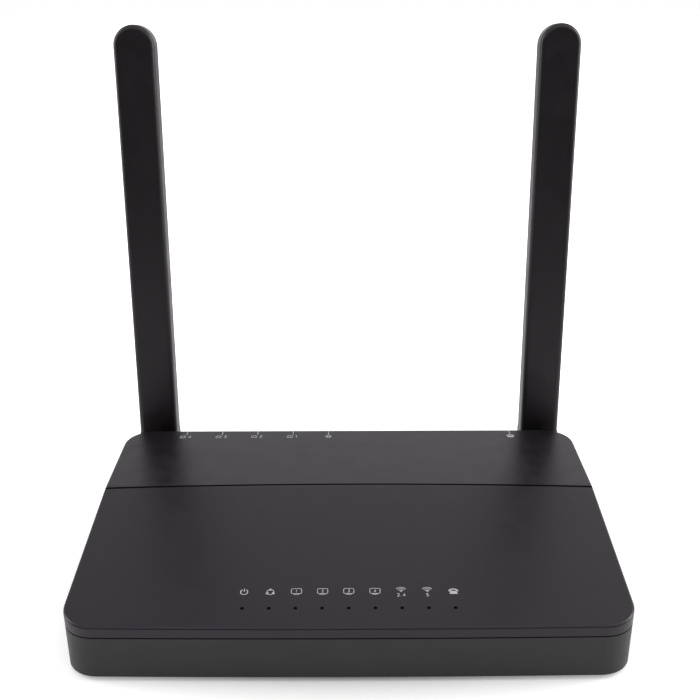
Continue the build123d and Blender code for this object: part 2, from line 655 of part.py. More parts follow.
with BuildPart() as power_switch:
    box_between(
        (POWER_X - 4.25, POWER_SWITCH_FACE - 13, BOARD_TOP),
        (POWER_X + 4.25, POWER_SWITCH_FACE, CONTROL_Z + 4.25),
    )
    with BuildSketch(from_rear(POWER_SWITCH_FACE)):
        with Locations((POWER_X, CONTROL_Z)):
            Rectangle(2.8, 2.8)
    extrude(amount=4.5, mode=Mode.SUBTRACT)
save(power_switch, "power_switch")

with BuildPart() as power_button:
    along_y(POWER_X, CONTROL_Z, FLANGE_BACK, 63.4, POWER_CAP_RADIUS)
    fillet(power_button.faces().sort_by(Axis.Y)[-1].edges(), 0.6)
    along_y(POWER_X, CONTROL_Z, FLANGE_BACK, FLANGE_BACK + 1.2, POWER_CAP_RADIUS + 0.8)
    box_between(
        (POWER_X - 1.1, POWER_SWITCH_FACE - 1, CONTROL_Z - 1.1),
        (POWER_X + 1.1, FLANGE_BACK, CONTROL_Z + 1.1),
    )
save(power_button, "power_button")



def tact_switch(x, face, z):
    """The body of a small board switch pressed from the rear at (x, z), standing on the board."""
    box_between((x - TACT_HALF, face - TACT_DEPTH, BOARD_TOP), (x + TACT_HALF, face, z + TACT_HALF))


with BuildPart() as wps_switch:
    tact_switch(WPS_X, WPS_SWITCH_FACE, CONTROL_Z)
save(wps_switch, "wps_switch")

with BuildPart() as wps_button:
    along_y(WPS_X, CONTROL_Z, FLANGE_BACK, 60.8, WPS_CAP_RADIUS)
    fillet(wps_button.faces().sort_by(Axis.Y)[-1].edges(), 0.4)
    along_y(WPS_X, CONTROL_Z, FLANGE_BACK, FLANGE_BACK + 1.2, WPS_CAP_RADIUS + 0.7)
    along_y(WPS_X, CONTROL_Z, WPS_SWITCH_FACE + WPS_TRAVEL + 0.1, FLANGE_BACK, 1.6)
save(wps_button, "wps_button")

with BuildPart() as reset_switch:
    tact_switch(RESET_X, RESET_SWITCH_FACE, RESET_Z)
    along_y(RESET_X, RESET_Z, RESET_SWITCH_FACE - 1.5, RESET_SWITCH_FACE, 1.2, Mode.SUBTRACT)
save(reset_switch, "reset_switch")

with BuildPart() as reset_plunger:
    along_y(RESET_X, RESET_Z, RESET_SWITCH_FACE - 1.0, RESET_SWITCH_FACE + 1.6, 1.0)
save(reset_plunger, "reset_plunger")

# ---------------------------------------------------------------- antennas
HUB_FLANGE_BACK = HUB_BOSS_FACE + 0.15
HUB_FLANGE_FACE = HUB_BOSS_FACE + 2.0
SHANK_END = 51.6
RETAINER_Y = 52.6
TONGUE_HALF = 2.9
TONGUE_RADIUS = 4.4
FORK_GAP = 0.3
FORK_WEB = 5.3  # elbow axis to the underside of the fork's web
PIN_RADIUS = 1.25
PLUG_LENGTH = 8.0
ELEMENT_LENGTH = 132.0
LEAD_RADIUS = 0.65
LEAD_START_Y = 31.0
LEAD_Z = BOARD_TOP + 1.9


def blade_outline(margin=0.0):
    """The paddle's face: straight sides and a round tip, from its lower end, about the elbow axis."""
    half = BLADE_WIDTH / 2 - margin
    shoulder = ANTENNA_REACH - BLADE_WIDTH / 2
    with BuildSketch() as outline:
        with BuildLine():
            Line((-half, BLADE_START), (half, BLADE_START))
            Line((half, BLADE_START), (half, shoulder))
            ThreePointArc((half, shoulder), (0, shoulder + half), (-half, shoulder))
            Line((-half, shoulder), (-half, BLADE_START))
        make_face()
    return outline.sketch


def antenna(side, hub_x):
    """One antenna: hub, retaining ring, fork, elbow pin, hollow paddle, inner element and its lead."""
    lean = radians(REST_LEAN)
    up = (0, sin(lean), cos(lean))
    rearward = (0, cos(lean), -sin(lean))
    elbow = (hub_x, ELBOW_Y, HUB_Z)
    across = Plane(origin=elbow, x_dir=(1, 0, 0), z_dir=up)  # sections square to the paddle
    forward = (0, -rearward[1], -rearward[2])
    face_on = Plane(origin=elbow, x_dir=(1, 0, 0), z_dir=forward)  # local x, height
    edge_on = Plane(origin=elbow, x_dir=rearward, z_dir=(1, 0, 0))  # local rearward, height

    with BuildPart() as hub:
        along_y(hub_x, HUB_Z, SHANK_END, HUB_FLANGE_BACK, HUB_SHANK_RADIUS)
        along_y(hub_x, HUB_Z, HUB_FLANGE_BACK, HUB_FLANGE_FACE, HUB_BOSS_RADIUS)
        chamfer(hub.faces().sort_by(Axis.Y)[-1].edges(), 0.5)
        with BuildSketch(Plane.YZ.offset(hub_x - TONGUE_HALF)):
            with Locations((ELBOW_Y, HUB_Z)):
                Circle(TONGUE_RADIUS)
            with Locations(((HUB_FLANGE_FACE - 0.5 + ELBOW_Y) / 2, HUB_Z)):
                Rectangle(ELBOW_Y - HUB_FLANGE_FACE + 0.5, 2 * TONGUE_RADIUS)
        extrude(amount=2 * TONGUE_HALF)
        along_y(hub_x, HUB_Z, RETAINER_Y, RETAINER_Y + 1.2, HUB_SHANK_RADIUS + 1, Mode.SUBTRACT)
        along_y(hub_x, HUB_Z, RETAINER_Y, RETAINER_Y + 1.2, HUB_SHANK_RADIUS - 0.8)
        along_y(hub_x, HUB_Z, SHANK_END, HUB_FLANGE_FACE - 1, 1.0, Mode.SUBTRACT)
        with BuildSketch(Plane.YZ.offset(hub_x - TONGUE_HALF)):
            with Locations((ELBOW_Y, HUB_Z)):
                Circle(PIN_RADIUS + 0.05)
        extrude(amount=2 * TONGUE_HALF, mode=Mode.SUBTRACT)
    save(hub, f"{side}_antenna_hub")

    with BuildPart() as retainer:
        along_y(hub_x, HUB_Z, RETAINER_Y, RETAINER_Y + 1.2, HUB_SHANK_RADIUS + 1.6)
        along_y(hub_x, HUB_Z, RETAINER_Y, RETAINER_Y + 1.2, HUB_SHANK_RADIUS - 0.8, Mode.SUBTRACT)
        with BuildSketch(from_rear(RETAINER_Y + 1.2)):
            with Locations((hub_x, HUB_Z - HUB_SHANK_RADIUS - 0.4)):
                Rectangle(3.2, HUB_SHANK_RADIUS + 2.4)
        extrude(amount=1.2, mode=Mode.SUBTRACT)
    save(retainer, f"{side}_antenna_retainer")

    with BuildPart() as fork:
        with BuildSketch(edge_on.offset(-BLADE_WIDTH / 2)):
            Circle(BLADE_THICKNESS / 2)
            with Locations((0, BLADE_START / 2)):
                Rectangle(BLADE_THICKNESS, BLADE_START)
        extrude(amount=BLADE_WIDTH)
        chamfer(fork.edges().filter_by(GeomType.CIRCLE), 0.7)
        with BuildSketch(face_on.offset(-BLADE_THICKNESS)):
            with Locations((0, (FORK_WEB - BLADE_THICKNESS) / 2)):
                Rectangle(2 * (TONGUE_HALF + FORK_GAP), FORK_WEB + BLADE_THICKNESS)
        extrude(amount=2 * BLADE_THICKNESS, mode=Mode.SUBTRACT)
        with BuildSketch(across.offset(BLADE_START)):
            Rectangle(BLADE_WIDTH - 2 * BLADE_WALL - 0.1, BLADE_THICKNESS - 2 * BLADE_WALL - 0.1)
        extrude(amount=PLUG_LENGTH)
        with BuildSketch(edge_on.offset(-BLADE_WIDTH / 2)):
            Circle(PIN_RADIUS + 0.01)
        extrude(amount=BLADE_WIDTH, mode=Mode.SUBTRACT)
    save(fork, f"{side}_antenna_fork")

    with BuildPart() as elbow_pin:
        with BuildSketch(edge_on.offset(-BLADE_WIDTH / 2 + 0.4)):
            Circle(PIN_RADIUS)
        extrude(amount=BLADE_WIDTH - 0.8)
    save(elbow_pin, f"{side}_elbow_pin")

    with BuildPart() as paddle:
        with BuildSketch(face_on.offset(-BLADE_THICKNESS / 2)):
            add(blade_outline())
        extrude(amount=BLADE_THICKNESS)
        faces = paddle.faces().filter_by(Axis(elbow, rearward))
        lower_end = paddle.faces().sort_by(Axis.Z)[0].edges()
        fillet([edge for edge in faces.edges() if edge not in lower_end], BLADE_EDGE_RADIUS)
        with BuildSketch(face_on.offset(-BLADE_THICKNESS / 2 + BLADE_WALL)):
            add(blade_outline(BLADE_WALL))
        extrude(amount=BLADE_THICKNESS - 2 * BLADE_WALL, mode=Mode.SUBTRACT)
    save(paddle, f"{side}_antenna_paddle")

    with BuildPart() as element:
        with BuildSketch(across.offset(BLADE_START + PLUG_LENGTH)):
            Rectangle(8.0, 0.8)
        extrude(amount=ELEMENT_LENGTH)
    save(element, f"{side}_antenna_element")

    outward = 1 if hub_x > 0 else -1
    start = (outward * 71.0, LEAD_START_Y, LEAD_Z)
    with BuildPart() as lead:
        with BuildLine() as route:
            FilletPolyline(
                start,
                (hub_x, LEAD_START_Y + 3.0, LEAD_Z + 0.6),
                (hub_x, 43.0, HUB_Z),
                (hub_x, SHANK_END - 0.3, HUB_Z),
                radius=[6.0, 11.0],
            )
        with BuildSketch(Plane(origin=start, z_dir=route.line % 0)):
            Circle(LEAD_RADIUS)
        sweep()
        disc([start[:2]], BOARD_TOP + 1.0, 1.7, 1.8)
    save(lead, f"{side}_antenna_lead")


antenna("left", -HUB_X)
antenna("right", HUB_X)

with BuildPart() as coax_connectors:
    disc([(-71.0, LEAD_START_Y), (71.0, LEAD_START_Y)], BOARD_TOP, 1.3, 1.0)
save(coax_connectors, "coax_connectors")
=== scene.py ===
import json
from math import cos, pi, radians, sin

import bmesh
import bpy
from mathutils import Matrix, Vector
from mathutils.bvhtree import BVHTree


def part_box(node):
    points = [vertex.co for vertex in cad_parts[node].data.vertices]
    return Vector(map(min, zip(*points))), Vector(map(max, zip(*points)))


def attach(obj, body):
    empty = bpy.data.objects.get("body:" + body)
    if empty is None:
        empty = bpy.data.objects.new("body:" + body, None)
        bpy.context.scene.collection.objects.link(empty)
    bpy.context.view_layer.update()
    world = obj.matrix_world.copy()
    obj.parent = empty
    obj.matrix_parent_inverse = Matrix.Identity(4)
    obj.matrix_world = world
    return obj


# Looks for the optical network terminal: finishes, printed marks, floor, light and camera.
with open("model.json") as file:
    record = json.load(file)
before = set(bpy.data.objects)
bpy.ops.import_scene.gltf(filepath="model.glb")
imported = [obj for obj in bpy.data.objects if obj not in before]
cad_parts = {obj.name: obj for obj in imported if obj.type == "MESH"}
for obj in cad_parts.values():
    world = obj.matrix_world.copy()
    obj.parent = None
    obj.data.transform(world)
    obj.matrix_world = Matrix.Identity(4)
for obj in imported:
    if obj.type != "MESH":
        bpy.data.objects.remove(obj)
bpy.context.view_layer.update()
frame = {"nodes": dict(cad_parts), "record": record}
MM = 0.001


# ---------------------------------------------------------------- places taken from the frame


def centre(node):
    """The middle of a CAD node's box."""
    low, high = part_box(node)
    return (low + high) / 2


case_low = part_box("bottom_case")[0]
cover_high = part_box("top_cover")[1]
REAR_WALL_Y = cover_high.y
LAMP_Y = centre("status_leds").y
led_low, led_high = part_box("status_leds")
LAMP_COUNT = 9
LAMP_WIDTH = 1.6 * MM
LAMP_PITCH = (led_high.x - led_low.x - LAMP_WIDTH) / (LAMP_COUNT - 1)
LAN_SOCKETS = ["lan1_socket", "lan2_socket", "lan3_socket", "lan4_socket"]


def surface_tree(node):
    """A search tree over a CAD node's faces, for laying prints on it."""
    mesh = frame["nodes"][node].data
    mesh.calc_loop_triangles()
    triangles = [tuple(t.vertices) for t in mesh.loop_triangles]
    return BVHTree.FromPolygons([v.co.copy() for v in mesh.vertices], triangles)


cover_tree = surface_tree("top_cover")


def on_cover(x, y):
    """The point of the top cover's outer face over (x, y)."""
    hit = cover_tree.ray_cast(Vector((x, y, cover_high.z + 5 * MM)), Vector((0, 0, -1)))[0]
    return hit if hit else Vector((x, y, cover_high.z))


# ---------------------------------------------------------------- finishes
ROUGHNESS_SPREAD = 0.05


def node(tree, kind, inputs=None, **settings):
    """A shader node with its settings and unlinked input values."""
    made = tree.nodes.new(kind)
    for name, value in settings.items():
        setattr(made, name, value)
    for name, value in (inputs or {}).items():
        made.inputs[name].default_value = value
    return made


def noise(tree, scale, detail=2.0, roughness=0.5):
    """Noise over the row's own coordinates; scale is in cycles per metre."""
    coordinates = node(tree, "ShaderNodeTexCoord")
    pattern = node(tree, "ShaderNodeTexNoise", {"Scale": scale, "Detail": detail, "Roughness": roughness})
    tree.links.new(coordinates.outputs["Object"], pattern.inputs["Vector"])
    return pattern.outputs["Fac"]


def mapped(tree, source, from_low, from_high, low, high):
    """A value carried from one range to another."""
    limits = {"From Min": from_low, "From Max": from_high, "To Min": low, "To Max": high}
    ranged = node(tree, "ShaderNodeMapRange", limits)
    tree.links.new(source, ranged.inputs["Value"])
    return ranged.outputs["Result"]


def spread(tree, source, low, high):
    """A noise value, which keeps near its middle, stretched to low..high."""
    return mapped(tree, source, 0.3, 0.7, low, high)


def tinted(tree, source, colour, change):
    """The colour made darker and lighter by change as source runs from low to high."""
    mix = node(tree, "ShaderNodeMix", data_type="RGBA")
    mix.inputs[6].default_value = (*[c * (1 - change) for c in colour], 1)
    mix.inputs[7].default_value = (*[min(1, c * (1 + change)) for c in colour], 1)
    tree.links.new(spread(tree, source, 0, 1), mix.inputs["Factor"])
    return mix.outputs[2]


def finish(
    name,
    colour,
    roughness,
    grain=0,
    grain_height=0.02,
    blotch=60,
    tint=0.08,
    metallic=0.0,
    **sockets,
):
    """A surface with broad colour change, uneven roughness and, if grain is given, a moulded texture.

    grain and blotch are in cycles per metre, grain_height in mm. A name in sockets has _ for each space.
    """
    material = bpy.data.materials.new(name)
    material.use_nodes = True
    tree = material.node_tree
    shader = tree.nodes["Principled BSDF"]
    shader.inputs["Metallic"].default_value = metallic
    for socket, value in sockets.items():
        shader.inputs[socket.replace("_", " ")].default_value = value
    tree.links.new(tinted(tree, noise(tree, blotch, 4), colour, tint), shader.inputs["Base Color"])
    patches = noise(tree, blotch * 2.3, 5, 0.6)
    uneven = spread(tree, patches, roughness - ROUGHNESS_SPREAD, roughness + ROUGHNESS_SPREAD)
    tree.links.new(uneven, shader.inputs["Roughness"])
    if grain:
        bump = node(tree, "ShaderNodeBump", {"Strength": 0.5, "Distance": grain_height * MM})
        tree.links.new(noise(tree, grain, 3, 0.6), bump.inputs["Height"])
        tree.links.new(bump.outputs["Normal"], shader.inputs["Normal"])
    return material


def brushed(name, colour, roughness, direction, metallic=1.0):
    """Metal with fine lines along one axis of the row."""
    material = finish(name, colour, roughness, metallic=metallic, tint=0.05)
    tree = material.node_tree
    coordinates = node(tree, "ShaderNodeTexCoord")
    stretch = node(tree, "ShaderNodeMapping")
    stretch.inputs["Scale"].default_value = [60 if axis == direction else 4000 for axis in range(3)]
    lines = node(tree, "ShaderNodeTexNoise", {"Scale": 1.0, "Detail": 2.0})
    bump = node(tree, "ShaderNodeBump", {"Strength": 0.3, "Distance": 0.01 * MM})
    tree.links.new(coordinates.outputs["Object"], stretch.inputs["Vector"])
    tree.links.new(stretch.outputs["Vector"], lines.inputs["Vector"])
    tree.links.new(lines.outputs["Fac"], bump.inputs["Height"])
    tree.links.new(bump.outputs["Normal"], tree.nodes["Principled BSDF"].inputs["Normal"])
    return material


def board_finish():
    """Solder mask: a green film over darker laminate, with faint copper tracks showing through it."""
    material = finish("board_laminate", (0.012, 0.09, 0.035), 0.32, 900, 0.01, Coat_Weight=0.3)
    tree = material.node_tree
    shader = tree.nodes["Principled BSDF"]
    coordinates = node(tree, "ShaderNodeTexCoord")
    stretch = node(tree, "ShaderNodeMapping", {"Rotation": (0, 0, pi / 4)})
    style = {"feature": "DISTANCE_TO_EDGE", "distance": "MANHATTAN"}
    tracks = node(tree, "ShaderNodeTexVoronoi", {"Scale": 420.0}, **style)
    mix = node(tree, "ShaderNodeMix", data_type="RGBA")
    mix.inputs[6].default_value = (0.010, 0.075, 0.03, 1)
    mix.inputs[7].default_value = (0.025, 0.17, 0.07, 1)
    tree.links.new(coordinates.outputs["Object"], stretch.inputs["Vector"])
    tree.links.new(stretch.outputs["Vector"], tracks.inputs["Vector"])
    tree.links.new(mapped(tree, tracks.outputs["Distance"], 0.05, 0.09, 1.0, 0.0), mix.inputs["Factor"])
    tree.links.new(mix.outputs[2], shader.inputs["Base Color"])
    return material


moulded = {  # colour, roughness, grain, grain height
    "button_plastic": ((0.03, 0.03, 0.032), 0.35, 1800, 0.006),
    "foot_rubber": ((0.014, 0.014, 0.014), 0.75, 1500, 0.04),
    "chip_epoxy": ((0.018, 0.018, 0.02), 0.55, 3500, 0.02),
    "pad_silicone": ((0.35, 0.42, 0.52), 0.7, 1500),
    "socket_plastic": ((0.012, 0.012, 0.012), 0.42, 2000, 0.008),
    "lan_socket_plastic": ((0.012, 0.012, 0.0125), 0.4, 2000, 0.008),
    "phone_socket_plastic": ((0.1, 0.1, 0.105), 0.42, 2000, 0.008),
    "fibre_green_plastic": ((0.01, 0.17, 0.045), 0.38, 2000, 0.006),
    "ferrite": ((0.03, 0.03, 0.032), 0.6, 1700, 0.03),
    "led_lens": ((0.75, 0.72, 0.5), 0.25),
    "lead_jacket": ((0.2, 0.2, 0.21), 0.4, 900, 0.01),
}
ALONG_X, ALONG_Y, ALONG_Z = range(3)
metals = {  # colour, roughness, direction of the brushing
    "zinc_steel": ((0.52, 0.52, 0.5), 0.3, ALONG_X),
    "tinned_steel": ((0.66, 0.66, 0.64), 0.34, ALONG_X),
    "sink_aluminium": ((0.7, 0.7, 0.71), 0.38, ALONG_Y),
    "capacitor_can": ((0.6, 0.6, 0.62), 0.3, ALONG_Z),
    "contact_metal": ((0.72, 0.69, 0.62), 0.25, ALONG_Y),
    "contact_gold": ((0.83, 0.58, 0.22), 0.25, ALONG_Y),
}
others = {  # colour, roughness, and what sets the finish apart
    "cover_plastic": (
        (0.006, 0.005, 0.0068),
        0.34,
        {"grain": 2600, "grain_height": 0.01, "tint": 0.06, "Specular_Tint": (0.97, 0.88, 1.0, 1)},
    ),
    "case_plastic": (
        (0.0085, 0.0078, 0.0078),
        0.4,
        {"grain": 2400, "grain_height": 0.016, "tint": 0.06, "Specular_Tint": (1.0, 0.96, 0.97, 1)},
    ),
    "antenna_plastic": (
        (0.004, 0.0033, 0.0038),
        0.36,
        {"grain": 2600, "grain_height": 0.01, "Specular_Tint": (0.96, 0.87, 0.94, 1)},
    ),
    "label_film": ((0.62, 0.62, 0.6), 0.4, {"grain": 1200, "grain_height": 0.004, "tint": 0.03}),
    "light_guide_acrylic": ((0.008, 0.008, 0.009), 0.18, {"tint": 0.03}),
    "zirconia": ((0.8, 0.8, 0.76), 0.15, {"tint": 0.02}),
    "element_laminate": ((0.55, 0.3, 0.13), 0.35, {"metallic": 0.6}),
}
finishes = {name: finish(name, *values) for name, values in moulded.items()}
finishes.update({name: brushed(name, *values) for name, values in metals.items()})
for name, (colour, roughness, options) in others.items():
    finishes[name] = finish(name, colour, roughness, **options)
finishes["board_laminate"] = board_finish()
for subpart in frame["record"]["subparts"]:
    mesh = frame["nodes"][subpart["node"]].data
    mesh.materials.clear()
    mesh.materials.append(finishes[subpart["material_slot"]])

ink = finish("white_ink", (0.42, 0.42, 0.44), 0.55, grain=3000, grain_height=0.01, blotch=400, tint=0.12)
faint_ink = finish("grey_ink", (0.5, 0.5, 0.51), 0.55, grain=3000, grain_height=0.01, blotch=400, tint=0.12)
label_ink = finish("label_ink", (0.06, 0.06, 0.065), 0.5, blotch=300)


# ---------------------------------------------------------------- flat drawings, in mm


def ribbon(points, width, closed=False):
    """A polyline drawn with a pen, as four-cornered pieces with mitred joints."""
    points = [Vector(p) for p in points]
    count = len(points)
    left, right = [], []
    for i, point in enumerate(points):
        before = points[i - 1] if i or closed else None
        after = points[(i + 1) % count] if i + 1 < count or closed else None
        ways = [(b - a).normalized() for a, b in ((before, point), (point, after)) if a and b]
        along = sum(ways, Vector((0, 0))).normalized()
        stretch = 1 / max(0.5, along.dot(ways[0]))
        side = Vector((-along.y, along.x)) * width / 2 * stretch
        left.append(point + side)
        right.append(point - side)
    spans = range(count if closed else count - 1)
    return [[left[i], right[i], right[(i + 1) % count], left[(i + 1) % count]] for i in spans]


def arc(x, y, radius, start, end, steps=18):
    """Points along an arc, angles in degrees from +x."""
    turns = [radians(start + (end - start) * i / steps) for i in range(steps + 1)]
    return [(x + radius * cos(t), y + radius * sin(t)) for t in turns]


def disc(x, y, radius, steps=20):
    """A filled circle."""
    return [[Vector(p) for p in arc(x, y, radius, 0, 360, steps)[:-1]]]


def round_box(x, y, width, height, radius):
    """The outline of a rectangle with round corners."""
    corners = ((1, 1, 0), (-1, 1, 90), (-1, -1, 180), (1, -1, 270))
    outline = []
    for across, up, start in corners:
        middle = (x + across * (width / 2 - radius), y + up * (height / 2 - radius))
        outline += arc(*middle, radius, start, start + 90, 5)
    return outline


SEGMENTS = {  # strokes of each numeral in a box one wide and two tall
    "1": [[(0.15, 1.6), (0.55, 2.0), (0.55, 0.0)]],
    "2": [[(0.0, 1.65), (0.25, 1.95), (0.75, 1.95), (1.0, 1.6), (0.9, 1.2), (0.0, 0.0), (1.0, 0.0)]],
    "3": [
        [(0.0, 1.95), (1.0, 1.95), (0.45, 1.15), (0.85, 1.05), (1.0, 0.55)]
        + [(0.75, 0.05), (0.2, 0.0), (0.0, 0.25)]
    ],
    "4": [[(0.75, 0.0), (0.75, 2.0), (0.0, 0.6), (1.05, 0.6)]],
    "5": [
        [(0.95, 2.0), (0.1, 2.0), (0.05, 1.15), (0.6, 1.25), (1.0, 0.85)]
        + [(0.95, 0.3), (0.5, 0.0), (0.0, 0.2)]
    ],
    ".": [[(0.3, 0.0), (0.3, 0.25)]],
}


def numeral(text, x, y, height, pen):
    """Numbers drawn with a pen, centred on (x, y)."""
    unit = height / 2
    step = unit * 1.5
    start = x - (len(text) - 1) * step / 2 - unit / 2
    strokes = []
    for place, sign in enumerate(text):
        for line in SEGMENTS[sign]:
            at = [(start + place * step + px * unit, y - height / 2 + py * unit) for px, py in line]
            strokes += ribbon(at, pen)
    return strokes


PEN = 0.3  # width of a drawn line


def power_icon():
    """A ring open at the top, with a line in the gap."""
    return ribbon(arc(0, -0.1, 1.25, 125, 415, 28), PEN * 1.15) + ribbon([(0, 0.1), (0, 1.5)], PEN * 1.15)


def network_icon():
    """A ring with three beads on it."""
    shape = ribbon(arc(0, -0.2, 1.2, 0, 360, 30)[:-1], PEN * 0.9, closed=True)
    for angle in (90, 210, 330):
        shape += disc(1.2 * cos(radians(angle)), -0.2 + 1.2 * sin(radians(angle)), 0.5)
    return shape


def screen_icon(number):
    """A screen on its foot, with a number in it."""
    shape = ribbon(round_box(0, 0.25, 3.6, 2.5, 0.6), PEN * 0.8, closed=True)
    shape += ribbon([(-1.0, -1.35), (1.0, -1.35)], PEN)
    return shape + numeral(number, 0, 0.25, 1.2, PEN * 0.6)


def wireless_icon(number):
    """Radio waves over a dot, with a number below."""
    shape = disc(0, 0.1, 0.34)
    for radius in (0.95, 1.65, 2.3):
        shape += ribbon(arc(0, -0.35, radius, 42, 138, 14), PEN * 0.85)
    return shape + numeral(number, 0, -1.75, 1.35, PEN * 0.75)


def phone_icon():
    """A desk telephone with its handset across the top."""
    shape = ribbon(arc(0, -0.75, 1.8, 34, 146, 12), PEN * 1.9)
    shape += [[Vector(p) for p in ((-1.75, -0.15), (-0.85, -0.15), (-0.85, 0.4), (-1.6, 0.55))]]
    shape += [[Vector(p) for p in ((1.75, -0.15), (1.6, 0.55), (0.85, 0.4), (0.85, -0.15))]]
    return shape + [[Vector(p) for p in ((-1.5, -1.35), (1.5, -1.35), (0.95, 0.1), (-0.95, 0.1))]]


def jack_icon():
    """The face of a modular jack."""
    outline = [(-1.1, -1), (1.1, -1), (1.1, 0.5), (0.5, 0.5), (0.5, 1), (-0.5, 1), (-0.5, 0.5), (-1.1, 0.5)]
    shape = ribbon(outline, PEN * 0.8, closed=True)
    for x in (-0.5, 0, 0.5):
        shape += ribbon([(x, -0.9), (x, -0.35)], PEN * 0.5)
    return shape


def globe_icon():
    """A globe with its equator and two meridians."""
    shape = ribbon(arc(0, 0, 1.2, 0, 360, 28)[:-1], PEN * 0.8, closed=True)
    shape += ribbon([(-1.2, 0), (1.2, 0)], PEN * 0.7)
    meridians = [(0.5 * cos(radians(a)), 1.2 * sin(radians(a))) for a in range(0, 360, 18)]
    return shape + ribbon(meridians, PEN * 0.6, closed=True)


def plug_icon():
    """Direct current, centre positive: a dot in a broken ring, with a line each side."""
    shape = disc(0, 0, 0.4) + ribbon(arc(0, 0, 0.95, 60, 300, 20), PEN * 0.8)
    return shape + ribbon([(0.4, 0), (2.0, 0)], PEN * 0.8) + ribbon([(-2.0, 0), (-0.95, 0)], PEN * 0.8)


def restart_icon():
    """An arrow that turns back round a ring."""
    shape = ribbon(arc(0, 0, 0.95, 60, 360, 20), PEN * 0.8)
    return shape + [[Vector(p) for p in ((0.55, -0.1), (1.4, -0.1), (0.95, -0.75))]]


def pairing_icon():
    """Two arrows chasing each other round a ring."""
    shape = []
    for start in (20, 200):
        shape += ribbon(arc(0, 0, 1.0, start, start + 125, 12), PEN * 0.8)
        tip = radians(start + 155)
        root = radians(start + 120)
        inner = Vector((0.55 * cos(root), 0.55 * sin(root)))
        outer = Vector((1.45 * cos(root), 1.45 * sin(root)))
        shape.append([inner, outer, Vector((1.05 * cos(tip), 1.05 * sin(tip)))])
    return shape


# ---------------------------------------------------------------- prints laid on the case
INK_LIFT = 0.012 * MM
INK_THICKNESS = 0.02 * MM


def print_on(name, drawings, place, outward, material, body="case"):
    """Thin closed ink shapes. place turns a drawing's (x, y) in mm into a point of the surface."""
    mesh = bpy.data.meshes.new(name)
    work = bmesh.new()
    lift = Vector(outward)
    for order, polygon in enumerate(drawings):
        layer = INK_LIFT + (order % 7) * 0.0006 * MM
        base = [place(p.x, p.y) + lift * layer for p in polygon]
        under = [work.verts.new(p) for p in base]
        over = [work.verts.new(p + lift * INK_THICKNESS) for p in base]
        work.faces.new(over)
        work.faces.new(list(reversed(under)))
        for i in range(len(polygon)):
            j = (i + 1) % len(polygon)
            work.faces.new((under[i], under[j], over[j], over[i]))
    bmesh.ops.recalc_face_normals(work, faces=work.faces)
    work.to_mesh(mesh)
    work.free()
    mesh.materials.append(material)
    piece = bpy.data.objects.new(name, mesh)
    bpy.context.scene.collection.objects.link(piece)
    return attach(piece, body)


def shifted(drawing, x, y, size=1.0):
    """A drawing moved to (x, y) in mm, and scaled."""
    return [[Vector((p.x * size + x, p.y * size + y)) for p in polygon] for polygon in drawing]


def cover_place(x, y):
    """A point of the cover's top from mm across and mm to the rear."""
    return on_cover(x * MM, y * MM)


ICON_GAP = 7.6  # lamp to the middle of its icon
lamp_icons = {"power": power_icon(), "network": network_icon()}
lamp_icons.update({f"screen_{number}": screen_icon(number) for number in "1234"})
lamp_icons.update(wireless_2=wireless_icon("2.4"), wireless_5=wireless_icon("5"), phone=phone_icon())
for step, (icon_name, icon) in enumerate(lamp_icons.items()):
    x = (step - (LAMP_COUNT - 1) / 2) * LAMP_PITCH / MM
    drawing = shifted(icon, x, LAMP_Y / MM + ICON_GAP, 0.95)
    print_on(f"icon_{icon_name}", drawing, cover_place, (0, 0, 1), ink)

TICK = (3.4, 0.3)  # length and width of the line from the rear edge
EDGE_MARGIN = 0.75
MARK_GAP = 1.55
port_icons = {"fibre_socket": (globe_icon(), ""), "phone_socket": (phone_icon(), "")}
for number, socket in enumerate(LAN_SOCKETS, start=1):
    port_icons[socket] = (jack_icon(), str(number))
rear_edge = REAR_WALL_Y / MM - EDGE_MARGIN
for socket, (icon, number) in port_icons.items():
    x = centre(socket).x / MM
    tick_end = rear_edge - TICK[0]
    mark_y = tick_end - MARK_GAP
    drawing = ribbon([(x, rear_edge), (x, tick_end)], TICK[1])
    if number:
        drawing += shifted(icon, x - 1.3, mark_y, 0.95) + numeral(number, x + 1.5, mark_y, 1.9, PEN * 0.85)
    else:
        drawing += shifted(icon, x, mark_y, 0.95)
    print_on(f"mark_{socket}", drawing, cover_place, (0, 0, 1), ink)


def rear_place(x, z):
    """A point of the rear wall from mm across and mm up, seen from behind."""
    return Vector((-x * MM, REAR_WALL_Y, z * MM))


REAR_MARK_Z = 21.4
rear_marks = {
    "power_button": power_icon(),
    "wps_button": pairing_icon(),
    "reset_plunger": restart_icon(),
    "power_inlet": plug_icon(),
    "fibre_socket": globe_icon(),
    "phone_socket": phone_icon(),
}
for below, icon in rear_marks.items():
    drawing = shifted(icon, -centre(below).x / MM, REAR_MARK_Z, 0.72)
    print_on(f"rear_{below}", drawing, rear_place, (0, 1, 0), faint_ink)
for number, socket in enumerate(LAN_SOCKETS, start=1):
    drawing = numeral(str(number), -centre(socket).x / MM, REAR_MARK_Z, 1.9, PEN * 0.8)
    print_on(f"rear_{socket}", drawing, rear_place, (0, 1, 0), faint_ink)

label_low, label_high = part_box("blank_label")


def label_place(x, y):
    """A point of the label's underside from mm across and mm to the rear, seen from below."""
    middle = (label_low + label_high) / 2
    return Vector((middle.x - x * MM, middle.y + y * MM, label_low.z))


label_drawing = ribbon(round_box(0, 0, 71, 23, 1.4), 0.25, closed=True)
for y in (6.5, 1.5, -3.5):
    label_drawing += ribbon([(-33, y), (12, y)], 0.18)
label_drawing += ribbon(round_box(24, 1.5, 17, 15, 0.8), 0.18, closed=True)
print_on("label_lines", label_drawing, label_place, (0, 0, -1), label_ink)


